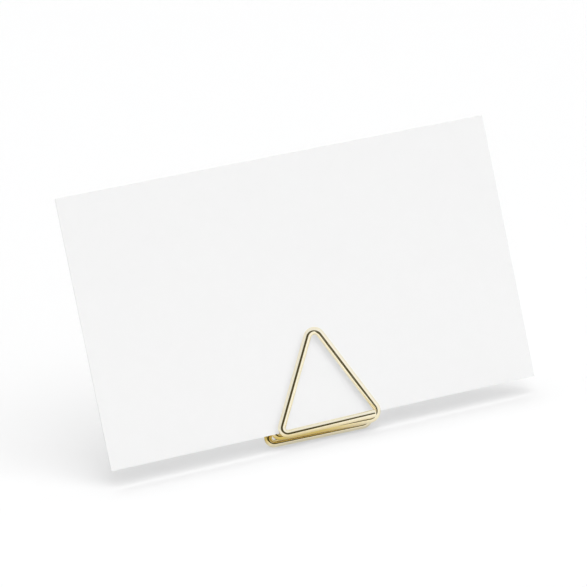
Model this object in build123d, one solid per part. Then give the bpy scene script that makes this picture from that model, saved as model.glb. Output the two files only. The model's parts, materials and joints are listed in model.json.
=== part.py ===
"""Place card holder: one gold wire bent into a triangular coil, with a blank card gripped between its turns.

Millimetres. +X is to the right along the card, +Y is away from the viewer, +Z is up.
The origin is on the table, under the middle of the whole part.
"""

import math
import os

from build123d import *

# Card
CARD_WIDTH = 90.0
CARD_HEIGHT = 55.0
CARD_THICKNESS = 0.35
GRIP_CLEARANCE = 0.12  # gap between the legs of the wire and each face of the card
EDGE_CLEARANCE = 0.08  # gap between the card's lower edge and the run of wire that it sits on

# Wire
WIRE_DIAMETER = 1.6
END_ROUND = 0.3  # rounding of the two cut ends
SEAT_FLAT = 0.16  # depth of the flat under the two runs that stand on the table

# Coil, measured on the wire's middle line, from sharp corner to sharp corner
TURN_WIDTH = 21.9
TURN_HEIGHT = 21.0
COIL_OFFSET = 0.4  # the front turn's middle lies this far to the right of the card's middle
TIP_OFFSET = 0.2  # a turn's tip lies this far to the right of the turn's middle
TURN_SHIFT = 1.1  # each turn stands this far to the left of the turn before it
FREE_END_INSET = 1.9  # the front free end stops this far short of the turn's right corner
LEG_SPLAY = 1.2  # the second turn's right corner lies this far behind its tip

# Heights up the card, from the level of the runs that stand on the table
FRONT_BASE_RISE = 2.8
FREE_END_CLIMB = 0.45  # rise of the front base run from its left corner to its free end
SEAT_RUN_DROP = 0.55  # the run that the card sits on is this far below the front base run, at its middle
SEAT_RUN_RISE = 0.5  # rise of that run from right to left

# Stance
LEAN = 14.0  # degrees that the card and the turns lean back
FOOT_DEPTH = 11.0  # from the front turn's legs back to the foot, square to the card
FOOT_LENGTH = 17.0

# Bend radii on the wire's middle line
TIP_RADIUS = 1.5
LEFT_RADIUS = 1.2
RIGHT_RADIUS = 1.7

lean_angle = math.radians(LEAN)
wire_radius = WIRE_DIAMETER / 2

# Depths behind the legs of the front turn, square to the card
card_middle = wire_radius + GRIP_CLEARANCE + CARD_THICKNESS / 2
turn_pitch = 2 * card_middle
splayed_depth = turn_pitch + LEG_SPLAY

# The seat run passes under the card at a slant, so its highest point there is a little to the left of the middle
seat_run_middle = FRONT_BASE_RISE - SEAT_RUN_DROP
seat_run_slope = SEAT_RUN_RISE / turn_pitch
seat_run_top = seat_run_middle + seat_run_slope * CARD_THICKNESS / 2 + wire_radius * math.hypot(1, seat_run_slope)
card_edge_height = seat_run_top + EDGE_CLEARANCE


def table_height(depth):
    """Height up the card of the middle line of a run that stands on the table at a depth."""
    return depth * math.tan(lean_angle)


def stand_up(x, height, depth):
    """A point on the standing part, from its place along the card's own width, height and depth."""
    back = depth * math.cos(lean_angle) + height * math.sin(lean_angle)
    up = height * math.cos(lean_angle) - depth * math.sin(lean_angle)
    return Vector(x, back, up + wire_radius - SEAT_FLAT)


def turn_corners(turn, left_height, right_height, right_depth):
    """Left corner, tip and right corner of one turn, each as x, height, depth and bend radius."""
    middle = COIL_OFFSET - turn * TURN_SHIFT
    depth = turn * turn_pitch
    tip_height = FRONT_BASE_RISE + TURN_HEIGHT
    return [
        (middle - TURN_WIDTH / 2, left_height, depth, LEFT_RADIUS),
        (middle + TIP_OFFSET, tip_height, depth, TIP_RADIUS),
        (middle + TURN_WIDTH / 2, right_height, right_depth, RIGHT_RADIUS),
    ]


def wire_path():
    """Middle line of the wire, from the free end of the front base run to the free end of the foot."""
    seat_run_left = seat_run_middle + SEAT_RUN_RISE / 2
    seat_run_right = seat_run_middle - SEAT_RUN_RISE / 2
    front = turn_corners(0, FRONT_BASE_RISE, seat_run_right, 0)
    second = turn_corners(1, seat_run_left, table_height(splayed_depth), splayed_depth)
    third = turn_corners(2, table_height(2 * turn_pitch), table_height(FOOT_DEPTH), FOOT_DEPTH)
    bends = front + second + third
    foot_x, foot_height, foot_depth, foot_radius = bends[-1]
    free_end_x = COIL_OFFSET + TURN_WIDTH / 2 - FREE_END_INSET
    start = stand_up(free_end_x, FRONT_BASE_RISE + FREE_END_CLIMB, -turn_pitch)
    end = stand_up(foot_x - FOOT_LENGTH, foot_height, foot_depth)
    points = [stand_up(x, height, depth) for x, height, depth, radius in bends]
    radii = [radius for x, height, depth, radius in bends]
    return FilletPolyline(start, *points, end, radius=radii)


def least_gap(path, samples=500):
    """Least gap between stretches of the wire that are not neighbours along it."""
    points = [path @ (i / samples) for i in range(samples + 1)]
    apart = math.ceil(3 * WIRE_DIAMETER * samples / path.length)
    spans = [
        (points[i] - points[j]).length
        for i in range(samples + 1)
        for j in range(i + apart, samples + 1)
    ]
    return min(spans) - WIRE_DIAMETER


def make_wire_clip(path):
    """The bent wire, with rounded ends and flats where it stands."""
    section = Plane(origin=path @ 0, z_dir=path % 0) * Circle(wire_radius)
    wire = sweep(section, path=path)
    ends = wire.faces().filter_by(GeomType.PLANE).edges()
    wire = wire.fillet(END_ROUND, ends)
    reach = path.length
    below_table = Pos(0, 0, -reach / 2) * Box(reach, reach, reach)
    return wire - below_table


def make_place_card():
    """The blank card, standing between the front turn and the second turn."""
    middle = stand_up(0, card_edge_height + CARD_HEIGHT / 2, card_middle)
    sheet = Box(CARD_WIDTH, CARD_THICKNESS, CARD_HEIGHT)
    return Pos(middle) * Rot(X=-LEAN) * sheet


def main():
    path = wire_path()
    pieces = {"wire_clip": make_wire_clip(path), "place_card": make_place_card()}
    box = Compound(list(pieces.values())).bounding_box()
    to_origin = Pos(-box.center().X, -box.center().Y, -box.min.Z)
    os.makedirs("parts", exist_ok=True)
    for name, piece in pieces.items():
        placed = to_origin * piece
        placed.label = name
        export_step(placed, f"parts/{name}.step")
    print(f"wire length {path.length:.2f} mm, least gap to itself {least_gap(path):.2f} mm")


main()
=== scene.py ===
"""Place card holder: a bent gold wire clip and its blank card, dressed and lit as in a small studio.

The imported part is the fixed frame. The wire is swept again along its own route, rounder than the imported
mesh and with a coordinate that follows the drawn metal, and the card gets its paper and its cut edges.
"""

import json
import math

import bmesh
import bpy
from mathutils import Matrix, Quaternion, Vector


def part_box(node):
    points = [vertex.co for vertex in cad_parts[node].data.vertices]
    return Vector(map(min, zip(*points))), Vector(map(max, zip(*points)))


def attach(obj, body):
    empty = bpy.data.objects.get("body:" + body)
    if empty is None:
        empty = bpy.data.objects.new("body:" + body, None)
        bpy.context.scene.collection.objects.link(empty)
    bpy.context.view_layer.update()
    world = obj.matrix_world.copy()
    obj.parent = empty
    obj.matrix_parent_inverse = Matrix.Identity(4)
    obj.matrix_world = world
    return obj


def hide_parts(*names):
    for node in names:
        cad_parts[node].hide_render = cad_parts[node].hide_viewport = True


bl_info = {
    "name": "Place card holder",
    "version": (1, 0, 0),
    "blender": (4, 5, 0),
    "location": "3D View > Sidebar > Card holder",
    "description": "Bends the wire clip, cuts its card and sets the stage around them",
    "category": "Object",
}

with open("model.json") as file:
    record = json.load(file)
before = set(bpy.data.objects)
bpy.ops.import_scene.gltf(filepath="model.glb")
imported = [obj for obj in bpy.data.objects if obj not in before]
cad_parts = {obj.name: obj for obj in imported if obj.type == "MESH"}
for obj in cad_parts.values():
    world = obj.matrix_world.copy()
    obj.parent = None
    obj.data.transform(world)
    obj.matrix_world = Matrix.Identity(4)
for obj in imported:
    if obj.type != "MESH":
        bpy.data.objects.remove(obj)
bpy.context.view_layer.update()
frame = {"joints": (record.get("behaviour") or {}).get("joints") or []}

# Detail of the meshes
END_SEGMENTS = 6  # steps round the rim of a cut wire end
END_ANGLE = math.radians(60)  # only the rims of the cut ends are sharper than this
CRISP_ANGLE = math.radians(32)  # sharper edges of the wire stay crisp, such as those of its flats
CORNER_STEPS = 4  # steps round a corner of the card
EDGE_SEGMENTS = 2  # steps across a softened edge of the card
RIM_TOLERANCE = 1e-7  # metres; both ends of a rim of the card lie at the same depth to within this

# Grain of the finishes, in cells of noise per metre. On the wire the last number is along it, and on the
# card's cut edge the middle one is through its thickness.
DRAW_LINES = (9000, 9000, 120)
PLATING_PATCHES = (700, 700, 260)
PAPER_FIBRES = (5200, 5200, 2600)
PAPER_PULP = 420
EDGE_LAYERS = (300, 16000, 300)

# Depth of the relief, in metres
LINE_DEPTH = 0.6e-6
FIBRE_DEPTH = 4e-6
LAYER_DEPTH = 8e-6

# Roughness of the wire, in shares of its polish setting: the least, and what its lines and patches add
SMOOTHEST_SHARE = 0.6
LINE_SHARE = 0.5
PATCH_SHARE = 0.3

PULP_SHARE = 0.6  # share of the paper's tone that comes from the pulp; the fibres give the rest

# Stage
MATT = {"Roughness": 0.9, "Specular IOR Level": 0.1}
FLAG_STEPS = 360  # rays round the rim of the front flag
FLAG_LIFT = 0.0001  # metres from the floor up to the dark sheet on it
WHITE = (1.0, 1.0, 1.0, 1.0)
SENSOR_WIDTH = 36  # mm


def millimetres(name, description, value):
    """A length property that is written in millimetres and kept in metres."""
    return bpy.props.FloatProperty(
        name=name, description=description, default=value / 1000, unit="LENGTH", precision=5
    )


def degrees(name, description, value):
    """An angle property that is written in degrees."""
    return bpy.props.FloatProperty(
        name=name, description=description, default=math.radians(value), subtype="ANGLE"
    )


def colour(name, description, value):
    """A colour property, in linear red, green and blue."""
    return bpy.props.FloatVectorProperty(
        name=name, description=description, default=value, size=3, min=0, max=1, subtype="COLOR"
    )


def light_colour(name, description, value):
    """A colour of light, which may be brighter than white."""
    return bpy.props.FloatVectorProperty(
        name=name, description=description, default=value, size=3, min=0, soft_max=2, subtype="COLOR"
    )


def share(name, description, value):
    """A property from 0 to 1."""
    return bpy.props.FloatProperty(
        name=name, description=description, default=value, min=0, max=1, subtype="FACTOR", precision=4
    )


def power(name, description, value):
    """A brightness property."""
    return bpy.props.FloatProperty(name=name, description=description, default=value, min=0, precision=4)


def count(name, description, value, least):
    """A whole number property."""
    return bpy.props.IntProperty(name=name, description=description, default=value, min=least)


class WireSettings(bpy.types.PropertyGroup):
    """The bent wire, measured on its middle line from sharp corner to sharp corner."""

    diameter: millimetres("Diameter", "Thickness of the round wire", 1.6)
    end_round: millimetres("End rounding", "Rounding of the two cut ends", 0.3)
    seat_flat: millimetres("Seat flat", "Depth of the flats that stand on the table", 0.16)
    grip: millimetres("Grip clearance", "Gap between the legs and each face of the card", 0.12)
    turn_width: millimetres("Turn width", "Width of one triangular turn", 21.9)
    turn_height: millimetres("Turn height", "Height of the turns above the front base run", 21.0)
    coil_offset: millimetres("Coil offset", "Front turn's middle, to the right of the card's", 0.4)
    tip_offset: millimetres("Tip offset", "A turn's tip, to the right of the turn's middle", 0.2)
    turn_shift: millimetres("Turn shift", "Each turn's step to the left of the one before", 1.1)
    free_end_inset: millimetres("Free end inset", "Front free end, short of the right corner", 1.9)
    leg_splay: millimetres("Leg splay", "Second turn's right corner, behind its tip", 1.2)
    front_base_rise: millimetres("Front base rise", "Front base run, up the card", 2.8)
    free_end_climb: millimetres("Free end climb", "Rise of the front base run to its end", 0.45)
    seat_run_drop: millimetres("Seat run drop", "Seat run's middle, below the front base run", 0.55)
    seat_run_rise: millimetres("Seat run rise", "Rise of the seat run from right to left", 0.5)
    foot_depth: millimetres("Foot depth", "Foot, behind the front legs, square to the card", 11.0)
    foot_length: millimetres("Foot length", "Length of the foot that lies on the table", 17.0)
    tip_radius: millimetres("Tip radius", "Bend radius at the tips", 1.5)
    left_radius: millimetres("Left radius", "Bend radius at the left corners", 1.2)
    right_radius: millimetres("Right radius", "Bend radius at the right corners", 1.7)
    sides: count("Sides", "Faces around the wire", 48, 12)
    bend_steps: count("Bend steps", "Steps along a bend", 18, 4)
    gold: colour("Gold", "Bright plating", (0.96, 0.89, 0.69))
    warm_gold: colour("Warm gold", "Patches of warmer plating", (0.94, 0.85, 0.61))
    # Painted shade: the deep gold is a darker gold painted low on the clip where the runs lie together. It
    # stands for the shade and dark reflections between the runs, not for thicker plating. The four settings
    # after it place this painted shade and fade it out up, down and to the right.
    shade_gold: colour("Deep gold", "Thicker plating where the runs lie together", (0.70, 0.52, 0.14))
    shade_level: millimetres("Deep level", "Height at which the plating is thickest", 2.3)
    shade_reach: millimetres("Deep reach", "Distance up and down over which it thins out", 2.1)
    shade_right_end: millimetres("Deep right", "Place at the right where the thicker plating ends", 13.0)
    shade_fade: millimetres("Deep fade", "Length over which it thins out before that place", 17.0)
    polish: share("Polish", "Roughness of the polished plating", 0.07)


class CardSettings(bpy.types.PropertyGroup):
    """The blank card's stock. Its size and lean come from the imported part."""

    corner_round: millimetres("Corner rounding", "Rounding of the four cut corners", 0.18)
    edge_round: millimetres("Edge rounding", "Softening of the edges by the blade", 0.04)
    paper: colour("Paper", "White of the card's faces", (0.86, 0.86, 0.86))
    fibre: colour("Fibre shade", "Tone of the darker patches in the pulp", (0.84, 0.84, 0.838))
    core: colour("Core", "Cut edge, where the pulp shows", (0.80, 0.80, 0.785))
    paper_roughness: share("Paper roughness", "Least roughness of the faces", 0.62)
    fibre_roughness: share("Fibre roughness", "Roughness that the fibres add to the faces", 0.16)
    paper_shine: share("Paper shine", "Strength of the faces' reflection", 0.25)
    edge_roughness: share("Edge roughness", "Least roughness of the cut edge", 0.7)
    layer_roughness: share("Layer roughness", "Roughness that the layers add to the cut edge", 0.2)
    edge_shine: share("Edge shine", "Strength of the cut edge's reflection", 0.2)


class StageSettings(bpy.types.PropertyGroup):
    """Floor, light and camera."""

    floor: colour("Floor", "Pale matt floor", (0.9, 0.9, 0.9))
    floor_reach: millimetres("Floor reach", "Half the floor's width", 3000)
    even: power("Even light", "Brightness of the light from all round", 0.245)
    left_surround: light_colour(
        "Left surround", "Cool white that the metal reflects from the left", (0.82, 0.85, 0.92)
    )
    right_surround: light_colour(
        "Right surround", "Cool white that the metal reflects from the right", (0.97, 1.0, 1.08)
    )
    flag: colour("Flag", "Dark flags that the metal reflects", (0.08, 0.07, 0.035))
    flag_radius: degrees("Flag radius", "Angle from a dark flag's middle to its edge", 31)
    flag_blur: degrees("Flag blur", "Softness of a dark flag's edge", 6)
    flag_azimuth: degrees("Flag azimuth", "Direction of the front flag, round from the front", -14)
    flag_elevation: degrees("Flag elevation", "Height of the flags above the horizon", 17)
    flag_level: millimetres("Flag level", "Height on the clip from which the flag's rim is drawn", 8)
    key_power: power("Key power", "Soft light from the front right", 1.05)
    key_spread: degrees("Key spread", "Angle across the soft light", 50)
    key_azimuth: degrees("Key azimuth", "Direction of the soft light, round from the front", 22)
    key_elevation: degrees("Key elevation", "Height of the soft light above the horizon", 53)
    top_power: power("Top power", "Soft light from overhead", 1.74)
    top_spread: degrees("Top spread", "Angle across the overhead light", 62)
    top_azimuth: degrees("Top azimuth", "Direction of the overhead light, round from the front", 180)
    top_elevation: degrees("Top elevation", "Height of the overhead light above the horizon", 75)
    thrown_share: share("Thrown share", "Share of the overhead light that the wire throws on", 0.55)
    side_power: power("Side power", "Weak light from the right", 0.36)
    side_spread: degrees("Side spread", "Angle across the side light", 40)
    side_azimuth: degrees("Side azimuth", "Direction of the side light, round from the front", 42)
    side_elevation: degrees("Side elevation", "Height of the side light above the horizon", 20)
    fill_power: power("Fill power", "Weak light on the card from the front", 0.52)
    fill_spread: degrees("Fill spread", "Angle across the fill light", 50)
    fill_azimuth: degrees("Fill azimuth", "Direction of the fill light, round from the front", 0)
    fill_elevation: degrees("Fill elevation", "Height of the fill light above the horizon", 8)
    lens: bpy.props.FloatProperty(
        name="Lens", description="Focal length in mm", default=131.86, unit="CAMERA"
    )
    camera_distance: millimetres("Camera distance", "From the lens to the card", 433.92)
    camera_azimuth: degrees("Camera azimuth", "Direction of the camera, round from the front", -13.136)
    camera_elevation: degrees("Camera elevation", "Height of the camera above the horizon", 15.297)
    camera_roll: degrees("Camera roll", "Turn of the camera about its own line of sight", -8.408)
    aim_x: millimetres("Aim X", "Point on the card in the middle of the picture", -1.605)
    aim_y: millimetres("Aim Y", "Point on the card in the middle of the picture", 1.595)
    aim_z: millimetres("Aim Z", "Point on the card in the middle of the picture", 29.712)


class Socket:
    """A node's output. Sums with it are written in Python, and each adds a Math node."""

    def __init__(self, nodes, output):
        self.nodes = nodes
        self.output = output

    def also(self, name):
        """Another output of the same node."""
        return Socket(self.nodes, self.output.node.outputs[name])

    def __add__(self, other):
        return self.nodes.maths("ADD", self, other)

    def __sub__(self, other):
        return self.nodes.maths("SUBTRACT", self, other)

    def __rsub__(self, other):
        return self.nodes.maths("SUBTRACT", other, self)

    def __mul__(self, other):
        return self.nodes.maths("MULTIPLY", self, other)

    __radd__ = __add__
    __rmul__ = __mul__


class Nodes:
    """Adds nodes to a tree: type, settings, then values or links for its sockets."""

    def __init__(self, tree):
        self.tree = tree
        tree.nodes.clear()

    def add(self, kind, settings=None, values=(), output=0):
        node = self.tree.nodes.new(kind)
        for name, value in (settings or {}).items():
            setattr(node, name, value)
        pairs = values.items() if isinstance(values, dict) else enumerate(values)
        for key, value in pairs:
            if isinstance(value, Socket):
                self.tree.links.new(value.output, node.inputs[key])
            else:
                node.inputs[key].default_value = value
        return Socket(self, node.outputs[output]) if node.outputs else None

    def maths(self, operation, *values):
        """A Math node on values or links."""
        return self.add("ShaderNodeMath", {"operation": operation}, values)

    def split(self, vector):
        """The three numbers of a vector, X first."""
        return self.add("ShaderNodeSeparateXYZ", None, [vector])

    def smooth_step(self, value, low, high):
        """0 up to the low value and 1 from the high one, with a smooth rise between them."""
        span = {"Value": value, "From Min": low, "From Max": high}
        return self.add("ShaderNodeMapRange", {"interpolation_type": "SMOOTHSTEP"}, span)

    def mix(self, factor, first, second):
        """Mixes two colours."""
        colours = {0: factor, 6: first, 7: second}
        return self.add("ShaderNodeMix", {"data_type": "RGBA"}, colours, output=2)

    def noise(self, where, scale=1.0, detail=2.0):
        """A noise value between 0 and 1 on a coordinate."""
        grain = {"Vector": where, "Scale": scale, "Detail": detail}
        return self.add("ShaderNodeTexNoise", None, grain)

    def stretch(self, where, scale):
        """A coordinate with its three directions scaled."""
        return self.add("ShaderNodeMapping", None, {"Vector": where, "Scale": scale})

    def surface(self, values, height=None, depth=0.0):
        """A Principled surface, with an optional relief of a depth in metres."""
        if height is not None:
            bump = {"Strength": 1.0, "Distance": depth, "Height": height}
            values = {**values, "Normal": self.add("ShaderNodeBump", None, bump)}
        shader = self.add("ShaderNodeBsdfPrincipled", None, values)
        self.add("ShaderNodeOutputMaterial", None, {"Surface": shader})


def new_material(name):
    """An empty node material, with the maker of its nodes."""
    material = bpy.data.materials.new(name)
    material.use_nodes = True
    return material, Nodes(material.node_tree)


def opaque(colour_value):
    """A colour property as the four numbers that a socket takes."""
    return (*colour_value, 1.0)


def link(name, mesh):
    """A new object for a mesh, in the scene."""
    piece = bpy.data.objects.new(name, mesh)
    bpy.context.scene.collection.objects.link(piece)
    return piece


class CardShape:
    """The card's own size, lean and middle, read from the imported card."""

    def __init__(self):
        axis = Vector(frame["joints"][0]["axis"])
        low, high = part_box("place_card")
        size = high - low
        self.lean = math.atan2(axis.y, axis.z)
        sine, cosine = math.sin(self.lean), math.cos(self.lean)
        self.width = size.x
        self.height = (size.z * cosine - size.y * sine) / (cosine**2 - sine**2)
        self.thickness = (size.y * cosine - size.z * sine) / (cosine**2 - sine**2)
        self.middle = (low + high) / 2

    def place(self):
        """Turns an upright card at the origin into the standing one."""
        return Matrix.Translation(self.middle) @ Matrix.Rotation(-self.lean, 4, "X")


def wire_route(wire, card):
    """The wire's sharp corners as (point, bend radius), from the front free end to the foot's end."""
    radius = wire.diameter / 2
    pitch = wire.diameter + 2 * wire.grip + card.thickness
    splayed = pitch + wire.leg_splay
    seat_run = wire.front_base_rise - wire.seat_run_drop
    tip_height = wire.front_base_rise + wire.turn_height

    def on_table(depth):
        return depth * math.tan(card.lean)

    def stand_up(x, height, depth):
        back = depth * math.cos(card.lean) + height * math.sin(card.lean)
        up = height * math.cos(card.lean) - depth * math.sin(card.lean)
        return Vector((x, back, up + radius - wire.seat_flat))

    def turn(index, left_height, right_height, right_depth):
        middle = wire.coil_offset - index * wire.turn_shift
        left, right = middle - wire.turn_width / 2, middle + wire.turn_width / 2
        depth = index * pitch
        return [
            (stand_up(left, left_height, depth), wire.left_radius),
            (stand_up(middle + wire.tip_offset, tip_height, depth), wire.tip_radius),
            (stand_up(right, right_height, right_depth), wire.right_radius),
        ]

    half_rise = wire.seat_run_rise / 2
    front = turn(0, wire.front_base_rise, seat_run - half_rise, 0)
    second = turn(1, seat_run + half_rise, on_table(splayed), splayed)
    third = turn(2, on_table(2 * pitch), on_table(wire.foot_depth), wire.foot_depth)
    free_end_x = wire.coil_offset + wire.turn_width / 2 - wire.free_end_inset
    start = stand_up(free_end_x, wire.front_base_rise + wire.free_end_climb, -pitch)
    end = third[-1][0] - Vector((wire.foot_length, 0, 0))
    bends = [(start, 0.0), *front, *second, *third, (end, 0.0)]
    card_rise = card.middle.z - radius + wire.seat_flat
    card_back = (pitch / 2 + card_rise * math.sin(card.lean)) / math.cos(card.lean)
    to_frame = Vector((0, card.middle.y - card_back, 0))
    return [(point + to_frame, bend) for point, bend in bends]


def bent_wire_tree():
    """Node tree that rounds a route's corners, sweeps round wire along it and seats it on the table."""
    tree = bpy.data.node_groups.new("Bent wire", "GeometryNodeTree")
    for name, kind in (
        ("Route", "NodeSocketGeometry"),
        ("Diameter", "NodeSocketFloat"),
        ("Sides", "NodeSocketInt"),
        ("Bend steps", "NodeSocketInt"),
        ("Finish", "NodeSocketMaterial"),
    ):
        tree.interface.new_socket(name, in_out="INPUT", socket_type=kind)
    tree.interface.new_socket("Wire", in_out="OUTPUT", socket_type="NodeSocketGeometry")
    nodes = Nodes(tree)

    def keep(geometry, kind, name, value):
        settings = {"data_type": kind, "domain": "POINT"}
        sockets = {"Geometry": geometry, "Name": name, "Value": value}
        return nodes.add("GeometryNodeStoreNamedAttribute", settings, sockets)

    def kept(kind, name):
        return nodes.add("GeometryNodeInputNamedAttribute", {"data_type": kind}, {"Name": name})

    # The route, with its corners rounded and the length along it kept on its points
    route = nodes.add("NodeGroupInput", output="Route")
    curve = nodes.add("GeometryNodeMeshToCurve", None, [route])
    bend_radius = kept("FLOAT", "bend_radius")
    rounding = {"Curve": curve, "Count": route.also("Bend steps"), "Radius": bend_radius}
    curve = nodes.add("GeometryNodeFilletCurve", {"mode": "POLY"}, rounding)
    length = nodes.add("GeometryNodeSplineParameter", output="Length")
    curve = keep(curve, "FLOAT", "along", length)

    # The round section, with the place across it kept on its points
    circle = {"Resolution": route.also("Sides"), "Radius": route.also("Diameter") * 0.5}
    section = nodes.add("GeometryNodeCurvePrimitiveCircle", {"mode": "RADIUS"}, circle)
    section = keep(section, "FLOAT_VECTOR", "across", nodes.add("GeometryNodeInputPosition"))
    sweep = {"Curve": curve, "Profile Curve": section, "Fill Caps": True}
    wire = nodes.add("GeometryNodeCurveToMesh", None, sweep)

    # The two together are the coordinate that the drawn metal's finish follows
    along = nodes.add("ShaderNodeCombineXYZ", None, {"Z": kept("FLOAT", "along")})
    parts = [kept("FLOAT_VECTOR", "across"), along]
    drawn = nodes.add("ShaderNodeVectorMath", {"operation": "ADD"}, parts)
    wire = keep(wire, "FLOAT_VECTOR", "drawn_wire", drawn)
    for helper in ("along", "across", "bend_radius"):
        wire = nodes.add("GeometryNodeRemoveAttribute", None, {"Geometry": wire, "Name": helper})

    # What would be below the table is pressed flat on it
    place = nodes.split(nodes.add("GeometryNodeInputPosition"))
    above_table = nodes.maths("MAXIMUM", place.also("Z"), 0.0)
    seated = nodes.add("ShaderNodeCombineXYZ", None, [place, place.also("Y"), above_table])
    wire = nodes.add("GeometryNodeSetPosition", None, {"Geometry": wire, "Position": seated})
    wire = nodes.add("GeometryNodeSetShadeSmooth", None, {"Geometry": wire})
    wire = nodes.add("GeometryNodeRealizeInstances", None, {"Geometry": wire})
    finish = {"Geometry": wire, "Material": route.also("Finish")}
    wire = nodes.add("GeometryNodeSetMaterial", None, finish)
    nodes.add("NodeGroupOutput", None, [wire])
    return tree


def polished_gold(wire):
    """Gold plating over drawn wire: faint lines along it and slow changes of tone.

    A darker gold is painted as shade where the runs lie together, and it fades out towards the right.
    """
    material, nodes = new_material("polished_gold")
    drawn = nodes.add("ShaderNodeAttribute", {"attribute_name": "drawn_wire"}, output="Vector")
    lines = nodes.noise(nodes.stretch(drawn, DRAW_LINES), detail=4.0)
    patches = nodes.noise(nodes.stretch(drawn, PLATING_PATCHES), detail=3.0)
    place = nodes.split(nodes.add("ShaderNodeTexCoord", output="Object"))
    # Mask of the painted shade: it is 0 near the shade level, left of its right end, and 1 away from there.
    from_level = nodes.maths("ABSOLUTE", place.also("Z") - wire.shade_level)
    above_or_below = nodes.smooth_step(from_level, 0.0, wire.shade_reach)
    to_the_right = nodes.smooth_step(place, wire.shade_right_end - wire.shade_fade, wire.shade_right_end)
    pale = nodes.maths("MAXIMUM", above_or_below, to_the_right)
    tone = nodes.mix(patches, opaque(wire.gold), opaque(wire.warm_gold))
    # The painted shade: darker gold where the mask is low.
    tone = nodes.mix(pale, opaque(wire.shade_gold), tone)
    added = (lines * LINE_SHARE + patches * PATCH_SHARE) * wire.polish
    roughness = wire.polish * SMOOTHEST_SHARE + added
    values = {"Base Color": tone, "Roughness": roughness, "Metallic": 1.0}
    nodes.surface(values, lines, LINE_DEPTH)
    return material


class CARDHOLDER_OT_bend_wire(bpy.types.Operator):
    """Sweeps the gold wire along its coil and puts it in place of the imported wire"""

    bl_idname = "card_holder.bend_wire"
    bl_label = "Bend the wire clip"

    def execute(self, context):
        wire = context.scene.card_holder_wire
        route = wire_route(wire, CardShape())
        mesh = bpy.data.meshes.new("wire_route")
        steps = [(i, i + 1) for i in range(len(route) - 1)]
        mesh.from_pydata([point for point, bend in route], steps, [])
        bends = mesh.attributes.new("bend_radius", "FLOAT", "POINT")
        bends.data.foreach_set("value", [bend for point, bend in route])
        piece = link("gold_wire_clip", mesh)
        self.sweep(piece, wire, polished_gold(wire))
        piece.data.set_sharp_from_angle(angle=CRISP_ANGLE)
        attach(piece, "clip")
        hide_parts("wire_clip")
        return {"FINISHED"}

    def sweep(self, piece, wire, finish):
        """Runs the node tree on the route, rounds the cut ends and keeps the result as a plain mesh."""
        tree = bent_wire_tree()
        bend = piece.modifiers.new("Bend", "NODES")
        bend.node_group = tree
        sizes = {
            "Diameter": wire.diameter,
            "Sides": wire.sides,
            "Bend steps": wire.bend_steps,
            "Finish": finish,
        }
        for item in tree.interface.items_tree:
            if item.in_out == "INPUT" and item.name in sizes:
                bend[item.identifier] = sizes[item.name]
        ends = piece.modifiers.new("Rounded ends", "BEVEL")
        ends.limit_method = "ANGLE"
        ends.angle_limit = END_ANGLE
        ends.width = wire.end_round
        ends.segments = END_SEGMENTS
        ends.use_clamp_overlap = False
        depsgraph = bpy.context.evaluated_depsgraph_get()
        swept = bpy.data.meshes.new_from_object(piece.evaluated_get(depsgraph))
        if not swept.polygons:
            raise RuntimeError("the wire's node tree made no faces")
        piece.modifiers.clear()
        piece.data = swept
        piece.data.name = "gold_wire_clip"


def card_stock(card):
    """Smooth white card: short fibres in relief over slow patches of tone in the pulp."""
    material, nodes = new_material("card_stock")
    place = nodes.add("ShaderNodeTexCoord", output="Object")
    fibres = nodes.noise(nodes.stretch(place, PAPER_FIBRES), detail=4.0)
    pulp = nodes.noise(place, PAPER_PULP, detail=3.0)
    shade = pulp * PULP_SHARE + fibres * (1 - PULP_SHARE)
    values = {
        "Base Color": nodes.mix(shade, opaque(card.paper), opaque(card.fibre)),
        "Roughness": card.paper_roughness + fibres * card.fibre_roughness,
        "Specular IOR Level": card.paper_shine,
    }
    nodes.surface(values, fibres, FIBRE_DEPTH)
    return material


def cut_edge(card, shape):
    """The card's cut edge: layers of pulp along the thickness, a little rougher and warmer."""
    material, nodes = new_material("card_cut_edge")
    place = nodes.add("ShaderNodeTexCoord", output="Object")
    turned = {"Vector": place, "Rotation": (shape.lean, 0.0, 0.0), "Scale": EDGE_LAYERS}
    layers = nodes.noise(nodes.add("ShaderNodeMapping", None, turned))
    values = {
        "Base Color": nodes.mix(layers, opaque(card.core), opaque(card.paper)),
        "Roughness": card.edge_roughness + layers * card.layer_roughness,
        "Specular IOR Level": card.edge_shine,
    }
    nodes.surface(values, layers, LAYER_DEPTH)
    return material


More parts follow.
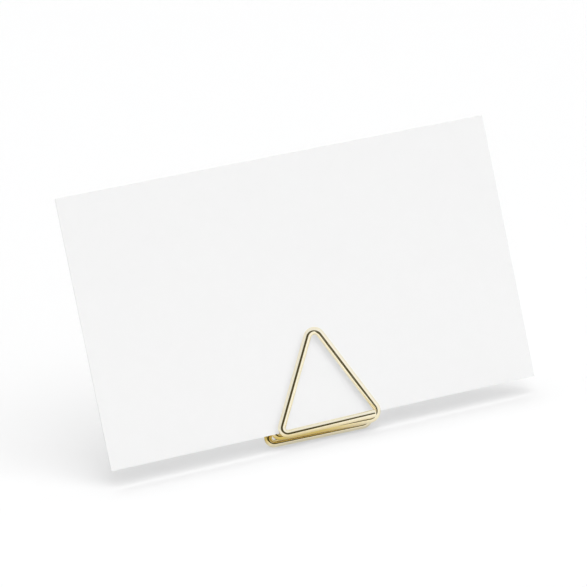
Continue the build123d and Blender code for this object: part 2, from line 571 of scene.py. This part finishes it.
class CARDHOLDER_OT_cut_card(bpy.types.Operator):
    """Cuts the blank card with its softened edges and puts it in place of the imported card"""

    bl_idname = "card_holder.cut_card"
    bl_label = "Cut the place card"

    def execute(self, context):
        card = context.scene.card_holder_card
        shape = CardShape()
        mesh = bpy.data.meshes.new("blank_place_card")
        sheet = self.cut(card, shape)
        sheet.to_mesh(mesh)
        sheet.free()
        mesh.materials.append(card_stock(card))
        mesh.materials.append(cut_edge(card, shape))
        piece = link("blank_place_card", mesh)
        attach(piece, "card")
        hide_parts("place_card")
        return {"FINISHED"}

    def cut(self, card, shape):
        """The standing card. Its two faces take the first material, and its edges the second."""
        sheet = bmesh.new()
        outline = [sheet.verts.new(point) for point in self.outline(card, shape)]
        front = sheet.faces.new(outline)
        back = bmesh.ops.extrude_face_region(sheet, geom=[front])["geom"]
        moved = [part for part in back if isinstance(part, bmesh.types.BMVert)]
        bmesh.ops.translate(sheet, verts=moved, vec=(0, shape.thickness, 0))
        bmesh.ops.recalc_face_normals(sheet, faces=sheet.faces)
        rims = [edge for edge in sheet.edges if self.is_rim(edge)]
        softened = {"offset": card.edge_round, "segments": EDGE_SEGMENTS, "profile": 0.5}
        bmesh.ops.bevel(sheet, geom=rims, affect="EDGES", **softened)
        for face in sheet.faces:
            face.smooth = True
            face.material_index = 1
        for face in sorted(sheet.faces, key=lambda face: face.calc_area())[-2:]:
            face.material_index = 0
            for edge in face.edges:
                edge.smooth = False
        sheet.transform(shape.place())
        return sheet

    def is_rim(self, edge):
        """Whether an edge goes round a face of the card, and not through its thickness."""
        first, second = edge.verts
        return abs(first.co.y - second.co.y) < RIM_TOLERANCE

    def outline(self, card, shape):
        """The card's front outline, with an arc at each corner."""
        right, top = shape.width / 2 - card.corner_round, shape.height / 2 - card.corner_round
        centres = [(right, top), (-right, top), (-right, -top), (right, -top)]
        points = []
        for quarter, (x, z) in enumerate(centres):
            for step in range(CORNER_STEPS + 1):
                angle = math.radians(90 * (quarter + step / CORNER_STEPS))
                across = x + card.corner_round * math.cos(angle)
                up = z + card.corner_round * math.sin(angle)
                points.append((across, -shape.thickness / 2, up))
        return points


def direction(azimuth, elevation):
    """Unit vector towards a place round from the front and above the horizon."""
    flat = math.cos(elevation)
    return Vector((math.sin(azimuth) * flat, -math.cos(azimuth) * flat, math.sin(elevation)))


class CARDHOLDER_OT_set_stage(bpy.types.Operator):
    """Lays the pale floor, sets the soft light and the dark flags, and places the camera"""

    bl_idname = "card_holder.set_stage"
    bl_label = "Set the stage"

    def execute(self, context):
        stage = context.scene.card_holder_stage
        self.lay_floor(stage)
        self.lay_flag(stage)
        self.light_surround(context.scene, stage)
        self.hang_lights(stage)
        self.place_camera(context.scene, stage)
        context.scene.view_settings.view_transform = "Standard"
        return {"FINISHED"}

    def lay_floor(self, stage):
        """A pale matt floor, wide enough to fill the picture."""
        reach = stage.floor_reach
        mesh = bpy.data.meshes.new("floor")
        corners = [(-reach, -reach, 0), (reach, -reach, 0), (reach, reach, 0), (-reach, reach, 0)]
        mesh.from_pydata(corners, [], [(0, 1, 2, 3)])
        material, nodes = new_material("matt_floor")
        nodes.surface({"Base Color": opaque(stage.floor), **MATT})
        mesh.materials.append(material)
        link("floor", mesh)

    def lay_flag(self, stage):
        """The front flag's part below the horizon: a dark sheet that only the metal sees."""
        middle = direction(stage.flag_azimuth, stage.flag_elevation)
        rim = Quaternion(middle.orthogonal(), stage.flag_radius) @ middle
        step_angle = math.tau / FLAG_STEPS
        rays = [Quaternion(middle, step_angle * step) @ rim for step in range(FLAG_STEPS)]
        lowest = min(range(FLAG_STEPS), key=lambda step: rays[step].z)
        highest = lowest - FLAG_STEPS // 2
        outline = []
        for ray in rays[highest:] + rays[:highest]:
            if ray.z < -stage.flag_level / stage.floor_reach:
                point = ray * (stage.flag_level / -ray.z)
                outline.append((point.x, point.y, FLAG_LIFT))
        mesh = bpy.data.meshes.new("floor_flag")
        mesh.from_pydata(outline, [], [list(range(len(outline)))])
        # The sheet's dark colour is seen only in the metal, as a dark reflection.
        material, nodes = new_material("dark_cloth")
        nodes.surface({"Base Color": opaque(stage.flag), **MATT})
        mesh.materials.append(material)
        flag = link("floor_flag", mesh)
        flag.visible_camera = flag.visible_diffuse = flag.visible_shadow = False

    def light_surround(self, scene, stage):
        """Even light all round, and a white surround that only the metal reflects.

        The surround is darker on the left, with a dark flag in front and one behind.
        """
        scene.world = bpy.data.worlds.new("white_surround")
        scene.world.use_nodes = True
        nodes = Nodes(scene.world.node_tree)
        towards = nodes.add("ShaderNodeTexCoord", output="Generated")
        rightness = nodes.split(towards) * 0.5 + 0.5
        left, right = opaque(stage.left_surround), opaque(stage.right_surround)
        reflected = nodes.mix(rightness, left, right)
        outer_edge = math.cos(stage.flag_radius + stage.flag_blur / 2)
        inner_edge = math.cos(stage.flag_radius - stage.flag_blur / 2)
        for azimuth in (stage.flag_azimuth, stage.flag_azimuth + math.pi):
            pair = [towards, direction(azimuth, stage.flag_elevation)]
            dot = {"operation": "DOT_PRODUCT"}
            cosine = nodes.add("ShaderNodeVectorMath", dot, pair, output="Value")
            inside = nodes.smooth_step(cosine, outer_edge, inner_edge)
            reflected = nodes.mix(inside, reflected, opaque(stage.flag))
        ray = nodes.add("ShaderNodeLightPath", output="Is Camera Ray")
        even = (stage.even, stage.even, stage.even, 1.0)
        sky = nodes.mix(ray.also("Is Glossy Ray"), even, reflected)
        sky = nodes.mix(ray, sky, WHITE)
        background = nodes.add("ShaderNodeBackground", None, {"Color": sky})
        nodes.add("ShaderNodeOutputWorld", None, {"Surface": background})

    def hang_lights(self, stage):
        """Wide, soft lights that light the floor evenly.

        Part of the top light and all bounced light pass the wire, for the light that polished metal
        throws on. The weak fill casts no shadow.
        """
        self.hang(stage, "key", "key", stage.key_power)
        self.hang(stage, "side", "side", stage.side_power)
        self.hang(stage, "top", "top", stage.top_power * (1 - stage.thrown_share))
        thrown = self.hang(stage, "thrown_light", "top", stage.top_power * stage.thrown_share)
        wire = bpy.data.objects["gold_wire_clip"]
        wire.visible_diffuse = False
        passed = bpy.data.collections.new("passed_by_light")
        passed.objects.link(wire)
        passed.collection_objects[0].light_linking.link_state = "EXCLUDE"
        thrown.light_linking.blocker_collection = passed
        fill = self.hang(stage, "fill", "fill", stage.fill_power)
        fill.data.use_shadow = False

    def hang(self, stage, name, kind, strength):
        """One lamp with the spread and direction of a kind of light. The metal doesn't reflect it."""
        light = bpy.data.lights.new(name, "SUN")
        light.energy = strength
        light.angle = getattr(stage, f"{kind}_spread")
        away = direction(getattr(stage, f"{kind}_azimuth"), getattr(stage, f"{kind}_elevation"))
        lamp = bpy.data.objects.new(name, light)
        lamp.location = away
        lamp.rotation_euler = (-away).to_track_quat("-Z", "Y").to_euler()
        lamp.visible_glossy = False
        bpy.context.scene.collection.objects.link(lamp)
        return lamp

    def place_camera(self, scene, stage):
        """The camera, aimed at a point on the card and rolled about its line of sight."""
        data = bpy.data.cameras.new("camera")
        data.sensor_width = SENSOR_WIDTH
        data.lens = stage.lens
        aim = Vector((stage.aim_x, stage.aim_y, stage.aim_z))
        away = direction(stage.camera_azimuth, stage.camera_elevation)
        camera = bpy.data.objects.new("camera", data)
        camera.location = aim + away * stage.camera_distance
        level = (-away).to_track_quat("-Z", "Y")
        camera.rotation_mode = "QUATERNION"
        camera.rotation_quaternion = level @ Quaternion((0, 0, 1), stage.camera_roll)
        scene.collection.objects.link(camera)
        scene.camera = camera


class CARDHOLDER_PT_sidebar(bpy.types.Panel):
    """Lists the steps that make the holder"""

    bl_idname = "CARDHOLDER_PT_sidebar"
    bl_label = "Place card holder"
    bl_space_type = "VIEW_3D"
    bl_region_type = "UI"
    bl_category = "Card holder"

    def draw(self, context):
        for step in STEPS:
            self.layout.operator(step.bl_idname)


STEPS = (CARDHOLDER_OT_bend_wire, CARDHOLDER_OT_cut_card, CARDHOLDER_OT_set_stage)
CLASSES = (WireSettings, CardSettings, StageSettings, *STEPS, CARDHOLDER_PT_sidebar)


def register():
    for part in CLASSES:
        bpy.utils.register_class(part)
    bpy.types.Scene.card_holder_wire = bpy.props.PointerProperty(type=WireSettings)
    bpy.types.Scene.card_holder_card = bpy.props.PointerProperty(type=CardSettings)
    bpy.types.Scene.card_holder_stage = bpy.props.PointerProperty(type=StageSettings)


def unregister():
    del bpy.types.Scene.card_holder_wire
    del bpy.types.Scene.card_holder_card
    del bpy.types.Scene.card_holder_stage
    for part in reversed(CLASSES):
        bpy.utils.unregister_class(part)


def main():
    register()
    bpy.ops.card_holder.bend_wire()
    bpy.ops.card_holder.cut_card()
    bpy.ops.card_holder.set_stage()


if __name__ == "__main__":
    main()
